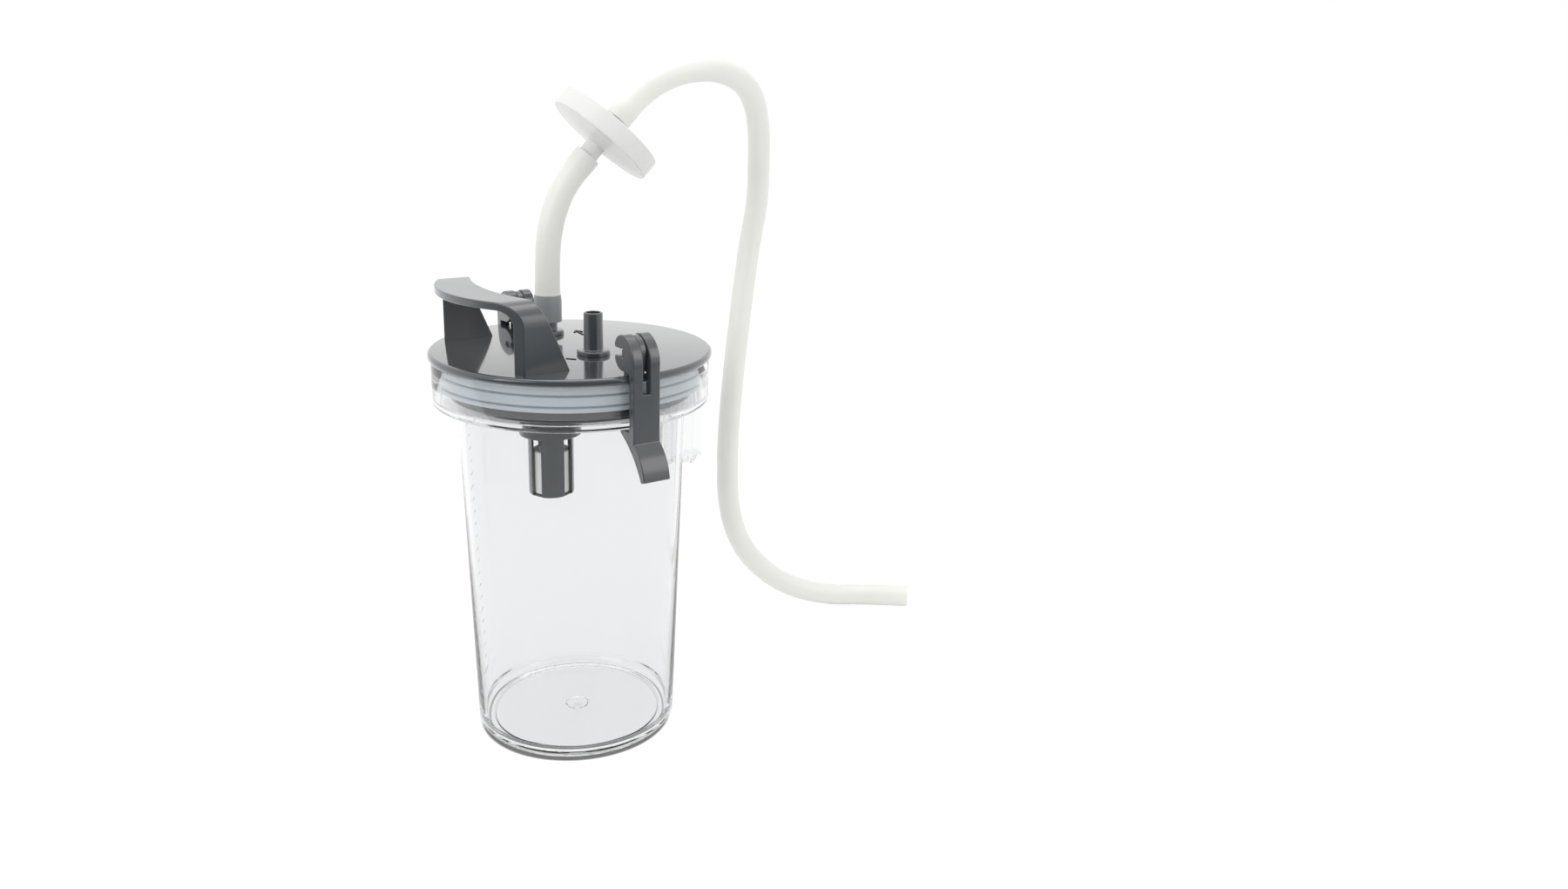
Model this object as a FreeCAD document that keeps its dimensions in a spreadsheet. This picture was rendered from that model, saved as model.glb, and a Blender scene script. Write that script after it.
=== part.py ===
# A vacuum collection jar with its latched lid, float valve, filter and hose, in millimetres.
# Z is up, the jar's axis is at the origin, the handle is at -Y, the hanger at +Y, the latches at +X and -X.

import FreeCAD, Part
import math
import os
import re
import Sketcher
from FreeCAD import Placement, Rotation, Vector

DRIVING = {
    # Jar: a tapered cup that widens into a collar for the lid
    "jar_foot_radius": 47.8,
    "jar_top_radius": 52.8,
    "jar_wall": 2.4,
    "foot_ring_outer": 44.1,
    "foot_ring_inner": 40.6,
    "foot_rise": 0.6,
    "foot_round": 3.7,
    "floor_top": 2.6,
    "floor_round": 4.4,
    "collar_bottom": 162.7,
    "collar_floor": 2.5,
    "collar_radius": 63.6,
    "collar_wall": 2.6,
    "collar_edge": 0.8,
    # Hanger tongue: a stem off the jar's wall with a wider head
    "hanger_bottom": 120.6,
    "stem_width": 8.0,
    "stem_start": 51.0,
    "head_start": 62.5,
    "head_face": 67.5,
    "head_width_bottom": 14.0,
    "head_width_top": 17.0,
    "head_slant_height": 8.1,
    "head_slant_depth": 4.5,
    # Lid: a disc that rests on the collar, with a skirt inside it
    "lid_radius": 65.0,
    "lid_bottom": 182.7,
    "lid_thickness": 3.5,
    "lid_edge": 0.8,
    "skirt_inner": 53.5,
    "skirt_outer": 57.0,
    "skirt_bottom": 166.6,
    # Handle: a strap bent up from the disc, bowed like the rim
    "handle_half_width": 42.4,
    "handle_top": 216.5,
    "handle_strap": 3.5,
    "handle_bend": 10.0,
    "handle_bow": 60.5,
    "handle_foot_back": 22.0,
    "handle_top_back": 35.0,
    "handle_hollow": 92.0,
    "handle_hollow_centre": 51.0,
    "handle_hollow_half": 38.0,
    # Ears with stub pins that carry the latches
    "pin_offset": 59.3,
    "pin_height": 195.5,
    "pin_radius": 1.9,
    "pin_length": 11.0,
    "ear_thickness": 3.0,
    "ear_radius": 7.3,
    "ear_foot_outer": 64.6,
    # Latches
    "latch_width": 13.0,
    "latch_face": 69.3,
    "latch_inner_face": 53.5,
    "latch_slot": 3.4,
    "latch_slot_bottom": 178.7,
    "latch_roll_foot": 190.0,
    "socket_radius": 1.95,
    "socket_mouth": 1.65,
    # Gasket: a soft sleeve with three sealing bands
    "gasket_bottom": 170.5,
    "gasket_top": 182.5,
    "gasket_groove": 59.2,
    "gasket_band": 60.9,
    "low_band_bottom": 171.0,
    "low_band_top": 173.0,
    "middle_band_bottom": 173.8,
    "middle_band_top": 177.9,
    "high_band_bottom": 178.7,
    # Connectors in the lid
    "patient_port_x": 19.6,
    "patient_port_y": 1.1,
    "vacuum_port_x": -30.2,
    "vacuum_port_y": 2.8,
    "nozzle_radius": 4.3,
    "nozzle_bore": 3.2,
    "nozzle_top": 205.5,
    "nozzle_tip": 0.6,
    "spigot_radius": 5.0,
    "spigot_depth": 5.5,
    "port_flange_radius": 7.5,
    "port_flange_height": 2.3,
    "port_flange_round": 0.9,
    "patient_boss_bottom": 176.0,
    # Float valve under the vacuum port
    "valve_boss_radius": 12.5,
    "valve_boss_wall": 2.2,
    "valve_seat": 141.0,
    "valve_seat_thickness": 2.5,
    "valve_seat_hole": 3.5,
    "cage_bottom": 105.5,
    "cage_radius": 11.25,
    "cage_inner": 9.8,
    "cage_plate": 1.0,
    "cage_flange_radius": 15.5,
    "cage_flange_height": 4.5,
    "window_width": 5.8,
    "cage_turn": 24.0,
    "float_radius": 8.8,
    "float_gap": 0.3,
    "float_height": 21.7,
    "float_wall": 1.2,
    "seal_radius": 6.5,
    "seal_height": 2.3,
    # Hose and disc filter
    "hose_radius": 6.0,
    "hose_bore": 4.0,
    "hose_start": 192.5,
    "nozzle_grip": 10.4,
    "filter_radius": 27.0,
    "filter_half_rim": 4.75,
    "filter_dome": 2.7,
    "filter_dome_radius": 24.0,
    "filter_dome_arc": 110.0,
    "filter_wall": 1.6,
    "filter_edge": 0.6,
    "filter_cavity": 22.5,
    "membrane_radius": 24.2,
    "membrane_half": 0.5,
    "hub_radius": 4.8,
    "hub_bore": 2.5,
    "inlet_hub": 13.4,
    "outlet_hub": 8.7,
    "barb_length": 8.0,
    "inlet_straight": 15.5,
    "outlet_straight": 15.0,
    # How far a cutter stands past the face that it cuts, or a foot into what carries it
    "cut_margin": 1.0,
}

# Outline of a latch: along X from the jar's axis, up, and the radius of the arc that leads to that point
LATCH_ROLL = [
    (60.5, 203.2, 12.0),
    (53.0, 198.3, 6.6),
]
LATCH_ARM = [
    (53.2, 192.3),
    (60.1, 187.6, 6.6),
    (65.3, 187.6),
    (65.3, 162.2),
    (57.6, 162.2),
    (57.6, 160.3),
    (75.2, 142.0, -43.0),
    (77.9, 142.8),
    (69.3, 157.4, 21.0),
]

# Filter: middle of the disc and the way that the air takes through it
FILTER_CENTRE = Vector(-25.2, 32.2, 281.0)
FILTER_AXIS = Vector(0.13, 0.65, 0.749).normalize()

doc = FreeCAD.newDocument("CollectionJar")
sheet = doc.addObject("Spreadsheet::Sheet", "Sizes")
for row, (alias, value) in enumerate(DRIVING.items(), start=1):
    sheet.set(f"A{row}", alias)
    sheet.set(f"B{row}", str(value))
    sheet.setAlias(f"B{row}", alias)
doc.recompute()


def bound(expression):
    """The same expression with the sheet's words as references to the sheet."""
    return re.sub(r"\b([a-z]+_[a-z_]+)\b", r"Sizes.\1", expression)


def size(expression):
    """The number that an expression on the sheet has now."""
    return float(sheet.evalExpression(str(expression)))


def new_body(label):
    body = doc.addObject("PartDesign::Body", label)
    body.Label = label
    return body


def new_sketch(body, name, role, lift):
    """An empty sketch on one of the body's origin planes, moved along its normal by lift."""
    sketch = body.newObject("Sketcher::SketchObject", name)
    plane = next(part for part in body.Origin.OriginFeatures if part.Role == role)
    sketch.AttachmentSupport = [(plane, "")]
    sketch.MapMode = "FlatFace"
    sketch.setExpression("AttachmentOffset.Base.z", bound(lift))
    return sketch


def hold(sketch, expression, kind, *where):
    """Add one constraint to a sketch and bind its value to an expression."""
    number = sketch.addConstraint(Sketcher.Constraint(kind, *where, size(expression)))
    sketch.setExpression(f"Constraints[{number}]", bound(expression))


def arc_between(start, end, radius):
    """The shorter arc from start to end: counter-clockwise, or clockwise if radius is negative."""
    chord = end.sub(start)
    reach = math.sqrt(max(radius * radius - chord.Length * chord.Length / 4, 0))
    left = Vector(-chord.y, chord.x, 0).normalize()
    centre = start.add(end).multiply(0.5).add(left.multiply(math.copysign(reach, radius)))
    if radius < 0:
        start, end = end, start
    first = math.atan2(start.y - centre.y, start.x - centre.x)
    last = math.atan2(end.y - centre.y, end.x - centre.x)
    return Part.ArcOfCircle(Part.Circle(centre, Vector(0, 0, 1), abs(radius)), first, last)


def outline(body, name, role, start, steps, lift="0"):
    """A closed sketch from start through the steps and back.

    A point is two expressions. A third one in a step makes the way to its point an arc of that radius:
    counter-clockwise, or clockwise if it is negative.
    """
    sketch = new_sketch(body, name, role, lift)
    corners = [start] + [step[:2] for step in steps]
    bends = [step[2] if len(step) > 2 else None for step in steps] + [None]
    places = [Vector(size(across), size(up), 0) for across, up in corners]
    ends = []
    for index, bend in enumerate(bends):
        here = places[index]
        there = places[(index + 1) % len(places)]
        if bend is None:
            sketch.addGeometry(Part.LineSegment(here, there))
            ends.append((1, 2))
        else:
            sketch.addGeometry(arc_between(here, there, size(bend)))
            ends.append((1, 2) if size(bend) > 0 else (2, 1))
    for index, (across, up) in enumerate(corners):
        before = (index - 1) % len(corners)
        sketch.addConstraint(Sketcher.Constraint("Coincident", before, ends[before][1], index, ends[index][0]))
        hold(sketch, str(across), "DistanceX", -1, 1, index, ends[index][0])
        hold(sketch, str(up), "DistanceY", -1, 1, index, ends[index][0])
        if bends[index] is not None:
            hold(sketch, f"abs({bends[index]})", "Radius", index)
    return sketch


def circle(body, name, role, across, up, radius, lift="0"):
    """A sketch with one circle."""
    sketch = new_sketch(body, name, role, lift)
    sketch.addGeometry(Part.Circle(Vector(size(across), size(up), 0), Vector(0, 0, 1), size(radius)))
    hold(sketch, across, "DistanceX", -1, 1, 0, 3)
    hold(sketch, up, "DistanceY", -1, 1, 0, 3)
    hold(sketch, radius, "Radius", 0)
    return sketch


def turned(body, sketch):
    """Revolve a sketch a full turn about its vertical axis."""
    feature = body.newObject("PartDesign::Revolution", sketch.Name + "Turned")
    feature.Profile = sketch
    feature.ReferenceAxis = (sketch, ["V_Axis"])
    feature.Angle = 360
    doc.recompute()
    return feature


def raised(body, sketch, length, both_sides=False):
    """Pad a sketch along its normal, or by half of the length to each side."""
    feature = body.newObject("PartDesign::Pad", sketch.Name + "Pad")
    feature.Profile = sketch
    feature.setExpression("Length", bound(length))
    if both_sides:
        feature.SideType = "Symmetric"
    doc.recompute()
    return feature


def sunk(body, sketch, length, both_sides=False):
    """Pocket a sketch against its normal, or by half of the length to each side, and prove that it cut."""
    volume = body.Shape.Volume
    feature = body.newObject("PartDesign::Pocket", sketch.Name + "Pocket")
    feature.Profile = sketch
    feature.setExpression("Length", bound(length))
    if both_sides:
        feature.SideType = "Symmetric"
    doc.recompute()
    if body.Shape.Volume >= volume - 0.01:
        raise RuntimeError(f"{feature.Name} cut nothing")
    return feature


# Jar: one moulding in three solids that meet face to face, the cup, its collar and the hanger on its back
jar = new_body("jar")
turned(jar, outline(
    jar, "JarWall", "XZ_Plane", ("0", "foot_rise"),
    [
        ("foot_ring_inner", "foot_rise"),
        ("foot_ring_inner", "0"),
        ("foot_ring_outer", "0"),
        ("jar_foot_radius", "foot_round", "foot_round"),
        ("jar_top_radius", "collar_bottom"),
        ("jar_top_radius", "collar_bottom + collar_floor"),
        ("jar_top_radius - jar_wall", "collar_bottom + collar_floor"),
        ("jar_foot_radius - jar_wall", "floor_top + floor_round"),
        ("jar_foot_radius - jar_wall - floor_round", "floor_top", "-floor_round"),
        ("0", "floor_top"),
    ],
))
collar = new_body("jar_collar")
turned(collar, outline(
    collar, "CollarSection", "XZ_Plane", ("jar_top_radius", "collar_bottom"),
    [
        ("collar_radius - collar_edge", "collar_bottom"),
        ("collar_radius", "collar_bottom + collar_edge", "collar_edge"),
        ("collar_radius", "lid_bottom"),
        ("collar_radius - collar_wall", "lid_bottom"),
        ("collar_radius - collar_wall", "collar_bottom + collar_floor"),
        ("jar_top_radius", "collar_bottom + collar_floor"),
    ],
))
tongue = new_body("HangerTongue")
raised(tongue, outline(
    tongue, "HangerStem", "XY_Plane", ("-stem_width / 2", "stem_start"),
    [
        ("stem_width / 2", "stem_start"),
        ("stem_width / 2", "head_start + cut_margin"),
        ("-stem_width / 2", "head_start + cut_margin"),
    ],
    "hanger_bottom",
), "collar_bottom - hanger_bottom")
raised(tongue, outline(
    tongue, "HangerHead", "XZ_Plane", ("-head_width_bottom / 2", "hanger_bottom"),
    [
        ("head_width_bottom / 2", "hanger_bottom"),
        ("head_width_top / 2", "collar_bottom"),
        ("-head_width_top / 2", "collar_bottom"),
    ],
    "-head_face",
), "head_face - head_start")
sunk(tongue, outline(
    tongue, "HangerSlant", "YZ_Plane", ("head_face - head_slant_depth", "hanger_bottom"),
    [
        ("head_face + cut_margin", "hanger_bottom - cut_margin"),
        ("head_face + cut_margin", "hanger_bottom + head_slant_height + cut_margin"),
        ("head_face", "hanger_bottom + head_slant_height"),
    ],
), "head_width_top + 4 * cut_margin", both_sides=True)
hanger = doc.addObject("Part::Cut", "Hanger")
hanger.Base = tongue
hanger.Tool = jar
hanger.Label = "jar_hanger"

# Lid: the disc with its skirt, the bosses under the two ports, the ears and their stub pins
disc = new_body("LidDisc")
turned(disc, outline(
    disc, "LidSection", "XZ_Plane", ("0", "lid_bottom"),
    [
        ("skirt_inner", "lid_bottom"),
        ("skirt_inner", "skirt_bottom"),
        ("skirt_outer", "skirt_bottom"),
        ("skirt_outer", "lid_bottom"),
        ("lid_radius", "lid_bottom"),
        ("lid_radius", "lid_bottom + lid_thickness - lid_edge"),
        ("lid_radius - lid_edge", "lid_bottom + lid_thickness", "lid_edge"),
        ("0", "lid_bottom + lid_thickness"),
    ],
))
raised(disc, circle(
    disc, "ValveBoss", "XY_Plane", "vacuum_port_x", "vacuum_port_y", "valve_boss_radius", "valve_seat",
), "lid_bottom - valve_seat")
sunk(disc, circle(
    disc, "ValveChamber", "XY_Plane", "vacuum_port_x", "vacuum_port_y",
    "valve_boss_radius - valve_boss_wall", "lid_bottom",
), "lid_bottom - valve_seat - valve_seat_thickness")
sunk(disc, circle(
    disc, "ValveSeatHole", "XY_Plane", "vacuum_port_x", "vacuum_port_y",
    "valve_seat_hole", "valve_seat + valve_seat_thickness",
), "valve_seat_thickness")
raised(disc, circle(
    disc, "PatientBoss", "XY_Plane", "patient_port_x", "patient_port_y",
    "port_flange_radius", "patient_boss_bottom",
), "lid_bottom - patient_boss_bottom")
for port, depth in (("patient", "lid_bottom + lid_thickness - patient_boss_bottom"), ("vacuum", "lid_thickness")):
    sunk(disc, circle(
        disc, port.title() + "Hole", "XY_Plane", f"{port}_port_x", f"{port}_port_y",
        "spigot_radius", "lid_bottom + lid_thickness",
    ), depth)
for side, word in ((1, "Front"), (-1, "Rear")):
    raised(disc, outline(
        disc, f"{word}Ear", "XZ_Plane", (f"{side} * (pin_offset - ear_radius)", "lid_bottom + cut_margin"),
        [
            (f"{side} * ear_foot_outer", "lid_bottom + cut_margin"),
            (f"{side} * (pin_offset + ear_radius)", "pin_height"),
            (f"{side} * pin_offset", "pin_height + ear_radius", f"{side} * ear_radius"),
            (f"{side} * (pin_offset - ear_radius)", "pin_height", f"{side} * ear_radius"),
        ],
    ), "ear_thickness", both_sides=True)
    raised(disc, circle(
        disc, f"{word}Pin", "XZ_Plane", f"{side} * pin_offset", "pin_height", "pin_radius",
    ), "pin_length", both_sides=True)

# Handle: a bent strap, cut back in a slant at its legs and in a hollow at its grip, and bowed in front
strap = new_body("HandleStrap")
inner_half = "(handle_half_width - handle_strap)"
bend_half = "(handle_half_width - handle_bend)"
bend_start = "(handle_top - handle_bend)"
inner_bend = "(handle_bend - handle_strap)"
raised(strap, outline(
    strap, "StrapSection", "XZ_Plane", ("-handle_half_width", "lid_bottom + cut_margin"),
    [
        ("-handle_half_width", bend_start),
        (f"-{bend_half}", "handle_top", "-handle_bend"),
        (bend_half, "handle_top"),
        ("handle_half_width", bend_start, "-handle_bend"),
        ("handle_half_width", "lid_bottom + cut_margin"),
        (inner_half, "lid_bottom + cut_margin"),
        (inner_half, bend_start),
        (bend_half, "handle_top - handle_strap", inner_bend),
        (f"-{bend_half}", "handle_top - handle_strap"),
        (f"-{inner_half}", bend_start, inner_bend),
        (f"-{inner_half}", "lid_bottom + cut_margin"),
    ],
    "handle_foot_back",
), "handle_bow - handle_foot_back")
sunk(strap, outline(
    strap, "LegSlant", "YZ_Plane", ("-handle_foot_back", "lid_bottom + lid_thickness"),
    [
        ("-handle_top_back", "handle_top"),
        ("-handle_top_back", "handle_top + cut_margin"),
        ("cut_margin - handle_foot_back", "handle_top + cut_margin"),
        ("cut_margin - handle_foot_back", "lid_bottom + lid_thickness"),
    ],
), "2 * handle_half_width + 4 * cut_margin", both_sides=True)
hollow_end = "handle_hollow_centre - sqrt(handle_hollow ^ 2 - handle_hollow_half ^ 2)"
sunk(strap, outline(
    strap, "GripHollow", "XY_Plane", ("-handle_hollow_half", "2 * cut_margin - handle_foot_back"),
    [
        ("-handle_hollow_half", hollow_end),
        ("handle_hollow_half", hollow_end, "handle_hollow"),
        ("handle_hollow_half", "2 * cut_margin - handle_foot_back"),
    ],
    "handle_top + cut_margin",
), "handle_strap + 2 * cut_margin")
bow = doc.addObject("Part::Cylinder", "HandleBow")
bow.setExpression("Radius", bound("handle_bow"))
bow.setExpression("Height", bound("handle_top + cut_margin"))
handle = doc.addObject("Part::Common", "Handle")
handle.Base = strap
handle.Tool = bow
lid = doc.addObject("Part::MultiFuse", "LidMoulding")
lid.Shapes = [disc, handle]
lid.Refine = True
lid.Label = "lid"

# Gasket
gasket = new_body("lid_gasket")
bands = [
    ("low_band_bottom", "low_band_top"),
    ("middle_band_bottom", "middle_band_top"),
    ("high_band_bottom", "gasket_top"),
]
band_steps = [("gasket_groove", "gasket_bottom")]
for low, high in bands:
    band_steps += [("gasket_groove", low), ("gasket_band", low), ("gasket_band", high)]
    if high != "gasket_top":
        band_steps.append(("gasket_groove", high))
band_steps.append(("skirt_outer", "gasket_top"))
turned(gasket, outline(gasket, "GasketSection", "XZ_Plane", ("skirt_outer", "gasket_bottom"), band_steps))


def connector(label, port, top):
    """A nozzle with a rounded flange on the lid and a spigot through it."""
    body = new_body(label)
    flange_top = "lid_bottom + lid_thickness + port_flange_height"
    turned(body, outline(
        body, label.title() + "Section", "XZ_Plane",
        ("nozzle_bore", "lid_bottom + lid_thickness - spigot_depth"),
        [
            ("spigot_radius", "lid_bottom + lid_thickness - spigot_depth"),
            ("spigot_radius", "lid_bottom + lid_thickness"),
            ("port_flange_radius", "lid_bottom + lid_thickness"),
            ("port_flange_radius", f"{flange_top} - port_flange_round"),
            ("port_flange_radius - port_flange_round", flange_top, "port_flange_round"),
            ("nozzle_radius", flange_top),
            ("nozzle_radius", f"{top} - nozzle_tip"),
            ("nozzle_radius - nozzle_tip", top),
            ("nozzle_bore", top),
        ],
    ))
    body.setExpression("Placement.Base.x", bound(f"{port}_port_x"))
    body.setExpression("Placement.Base.y", bound(f"{port}_port_y"))
    return body


patient_connector = connector("patient_connector", "patient", "nozzle_top")
vacuum_connector = connector("vacuum_connector", "vacuum", "hose_start + nozzle_grip")


def under_vacuum_port(body, turn="0"):
    """Place a body that is modelled on its own axis under the vacuum port."""
    body.Placement = Placement(Vector(0, 0, 0), Rotation(Vector(0, 0, 1), size(turn)))
    body.setExpression("Placement.Base.x", bound("vacuum_port_x"))
    body.setExpression("Placement.Base.y", bound("vacuum_port_y"))


# Float cage: a flange with four ribs between tall windows, and a floor inside the ribs
cage = new_body("float_cage")
turned(cage, outline(
    cage, "CageSection", "XZ_Plane", ("0", "cage_bottom"),
    [
        ("cage_inner", "cage_bottom"),
        ("cage_radius", "cage_bottom + cage_radius - cage_inner", "cage_radius - cage_inner"),
        ("cage_radius", "valve_seat - cage_flange_height"),
        ("cage_flange_radius", "valve_seat - cage_flange_height"),
        ("cage_flange_radius", "valve_seat"),
        ("cage_inner", "valve_seat"),
        ("cage_inner", "cage_bottom + cage_plate"),
        ("0", "cage_bottom + cage_plate"),
    ],
))
for plane, word in (("XZ_Plane", "Side"), ("YZ_Plane", "Face")):
    sunk(cage, outline(
        cage, f"{word}Window", plane, ("-window_width / 2", "cage_bottom - cut_margin"),
        [
            ("window_width / 2", "cage_bottom - cut_margin"),
            ("window_width / 2", "valve_seat - cage_flange_height"),
            ("-window_width / 2", "valve_seat - cage_flange_height"),
        ],
    ), "2 * (cage_radius + cut_margin)", both_sides=True)
raised(cage, circle(cage, "CageFloor", "XY_Plane", "0", "0", "cage_inner", "cage_bottom"), "cage_plate")
under_vacuum_port(cage, "cage_turn")

# Float: a cup, open below, with a soft seal on top
float_base = "(cage_bottom + cage_plate + float_gap)"
float_body = new_body("float")
turned(float_body, outline(
    float_body, "FloatSection", "XZ_Plane", ("float_radius - float_wall", float_base),
    [
        ("float_radius", float_base),
        ("float_radius", f"{float_base} + float_height"),
        ("0", f"{float_base} + float_height"),
        ("0", f"{float_base} + float_height - float_wall"),
        ("float_radius - float_wall", f"{float_base} + float_height - float_wall"),
    ],
))
under_vacuum_port(float_body)
seal = new_body("float_seal")
turned(seal, outline(
    seal, "SealSection", "XZ_Plane", ("0", f"{float_base} + float_height"),
    [
        ("seal_radius", f"{float_base} + float_height"),
        ("seal_radius", f"{float_base} + float_height + seal_height / 2"),
        ("seal_radius - seal_height / 2", f"{float_base} + float_height + seal_height", "seal_height / 2"),
        ("0", f"{float_base} + float_height + seal_height"),
    ],
))
under_vacuum_port(seal)


def latch(label, turn):
    """A latch with a roll that hooks on the stub pins, a tooth under the collar and a flared thumb tab."""
    body = new_body(label)
    mouth = "pin_offset - sqrt(socket_radius ^ 2 - socket_mouth ^ 2)"
    socket = [
        ("latch_inner_face", "pin_height + socket_mouth"),
        (mouth, "pin_height + socket_mouth"),
        ("pin_offset + socket_radius", "pin_height", "-socket_radius"),
        (mouth, "pin_height - socket_mouth", "-socket_radius"),
        ("latch_inner_face", "pin_height - socket_mouth"),
    ]
    side = outline(body, label.title() + "Side", "XZ_Plane", ("latch_face", "latch_roll_foot"), LATCH_ROLL + socket + LATCH_ARM)
    raised(body, side, "latch_width", both_sides=True)
    sunk(body, outline(
        body, label.title() + "Slot", "XZ_Plane", ("latch_inner_face - 2 * cut_margin", "latch_slot_bottom"),
        [
            ("latch_face + 2 * cut_margin", "latch_slot_bottom"),
            ("latch_face + 2 * cut_margin", "pin_height + latch_width"),
            ("latch_inner_face - 2 * cut_margin", "pin_height + latch_width"),
        ],
    ), "latch_slot", both_sides=True)
    body.Placement = Placement(Vector(0, 0, 0), Rotation(Vector(0, 0, 1), turn))
    return body


latch_front = latch("latch_front", 0)
latch_rear = latch("latch_rear", 180)


def filter_shell(label, hub, back):
    """Half of the disc filter, modelled pointing up its axis: rim, domed face, hub and barb."""
    body = new_body(label)
    crown = "(filter_half_rim + filter_dome)"
    turned(body, outline(
        body, label.title() + "Section", "XZ_Plane", ("hub_bore", f"{crown} - filter_wall"),
        [
            ("filter_cavity", "filter_half_rim - filter_wall", "-filter_dome_arc"),
            ("filter_cavity", "membrane_half"),
            ("membrane_radius", "membrane_half"),
            ("membrane_radius", "0"),
            ("filter_radius", "0"),
            ("filter_radius", "filter_half_rim - filter_edge"),
            ("filter_radius - filter_edge", "filter_half_rim"),
            ("filter_dome_radius", "filter_half_rim"),
            ("hub_radius", crown, "filter_dome_arc"),
            ("hub_radius", hub),
            ("nozzle_radius", hub),
            ("nozzle_radius", f"{hub} + barb_length - nozzle_tip"),
            ("nozzle_radius - nozzle_tip", f"{hub} + barb_length"),
            ("hub_bore", f"{hub} + barb_length"),
        ],
    ))
    body.Placement = Placement(FILTER_CENTRE, Rotation(Vector(0, 0, 1), FILTER_AXIS * (-1 if back else 1)))
    return body


filter_inlet = filter_shell("filter_inlet_shell", "inlet_hub", True)
filter_outlet = filter_shell("filter_outlet_shell", "outlet_hub", False)
membrane = doc.addObject("Part::Cylinder", "Membrane")
membrane.setExpression("Radius", bound("membrane_radius"))
membrane.setExpression("Height", bound("2 * membrane_half"))
membrane.Placement = Placement(
    FILTER_CENTRE - FILTER_AXIS * size("membrane_half"), Rotation(Vector(0, 0, 1), FILTER_AXIS),
)
membrane.Label = "filter_membrane"

# Hose: its route in two lengths, from the vacuum nozzle to the filter and from the filter to the floor.
# An arc may take this share of the shorter run beside its corner.
ARC_SHARE = 0.45
LOWER_ROUTE = [
    Vector(size("vacuum_port_x"), size("vacuum_port_y"), size("hose_start")),
    Vector(-30.2, 2.8, 211.5),
    Vector(-30.4, 3.6, 230.5),
    Vector(-30.2, 7.0, 245.5),
    FILTER_CENTRE - FILTER_AXIS * size("inlet_hub + inlet_straight"),
    FILTER_CENTRE - FILTER_AXIS * size("inlet_hub"),
]
UPPER_ROUTE = [
    FILTER_CENTRE + FILTER_AXIS * size("outlet_hub"),
    FILTER_CENTRE + FILTER_AXIS * size("outlet_hub + outlet_straight"),
    Vector(-19.8, 63.7, 308.7),
    Vector(-19.7, 82.4, 312.4),
    Vector(-23.4, 101.0, 310.5),
    Vector(-31.0, 117.3, 304.3),
    Vector(-40.8, 130.0, 293.9),
    Vector(-49.4, 138.6, 279.3),
    Vector(-54.9, 142.7, 261.5),
    Vector(-55.5, 143.0, 242.0),
    Vector(-56.5, 139.5, 222.5),
    Vector(-54.5, 134.5, 199.0),
    Vector(-50.5, 128.0, 170.0),
    Vector(-46.5, 121.5, 136.5),
    Vector(-44.5, 118.0, 102.0),
    Vector(-44.5, 119.5, 70.0),
    Vector(-44.0, 128.0, 46.5),
    Vector(-42.0, 143.0, 27.5),
    Vector(-38.0, 162.5, 13.5),
    Vector(-31.0, 185.0, 6.0),
    Vector(-19.0, 206.0, 6.0),
    Vector(-4.0, 224.5, 6.0),
]


def route_wire(name, points):
    """Straight runs joined by the largest tangent arcs that their runs allow; the radii are printed."""
    edges = []
    radii = []
    start = points[0]
    for before, corner, after in zip(points, points[1:], points[2:]):
        back = before - corner
        ahead = after - corner
        half_turn = (math.pi - back.getAngle(ahead)) / 2
        reach = ARC_SHARE * min(back.Length, ahead.Length)
        radius = reach / math.tan(half_turn)
        radii.append(round(radius))
        back.normalize()
        ahead.normalize()
        towards = (back + ahead).normalize()
        entry = corner + back * reach
        leave = corner + ahead * reach
        crown = corner + towards * (radius / math.cos(half_turn) - radius)
        edges.append(Part.LineSegment(start, entry).toShape())
        edges.append(Part.Arc(entry, crown, leave).toShape())
        start = leave
    edges.append(Part.LineSegment(start, points[-1]).toShape())
    print(name, "bend radii", radii)
    return Part.Wire(edges)


def disc_across(point, direction, radius):
    return Part.Wire(Part.makeCircle(radius, point, direction))


def hose(label, points, grips):
    """A tube along a route, widened inside where a nozzle or barb goes in: grips are (point, direction, depth)."""
    wire = route_wire(label, points)
    first = points[1] - points[0]
    outer = wire.makePipeShell([disc_across(points[0], first, size("hose_radius"))], True, False)
    bore = wire.makePipeShell([disc_across(points[0], first, size("hose_bore"))], True, False)
    section = math.pi * (size("hose_radius") ** 2 - size("hose_bore") ** 2)
    tube = outer.cut(bore)
    print(label, "length", round(wire.Length, 1), "volume ratio", round(tube.Volume / (section * wire.Length), 4))
    for point, direction, depth in grips:
        tube = tube.cut(Part.makeCylinder(size("nozzle_radius"), depth, point, direction))
    feature = doc.addObject("Part::Feature", label)
    feature.Shape = tube
    feature.Label = label
    return feature


hose_lower = hose("hose_lower", LOWER_ROUTE, [
    (LOWER_ROUTE[0], Vector(0, 0, 1), size("nozzle_grip")),
    (LOWER_ROUTE[-1], FILTER_AXIS * -1, size("barb_length")),
])
hose_upper = hose("hose_upper", UPPER_ROUTE, [(UPPER_ROUTE[0], FILTER_AXIS, size("barb_length"))])

doc.recompute()
subparts = [
    jar, collar, hanger, lid, gasket, patient_connector, vacuum_connector, cage, float_body, seal,
    latch_front, latch_rear, hose_lower, hose_upper, filter_inlet, filter_outlet, membrane,
]
for item in doc.Objects:
    if "Invalid" in item.State or "Error" in item.State:
        raise RuntimeError(f"{item.Name} did not compute")
for item in subparts:
    if item.Shape.isNull() or not item.Shape.isValid():
        raise RuntimeError(f"{item.Label} has no valid shape")

os.makedirs("parts", exist_ok=True)
for item in subparts:
    item.Shape.exportStep(f"parts/{item.Label}.step")
    print(item.Label, "volume", round(item.Shape.Volume), "solids", len(item.Shape.Solids))
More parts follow.
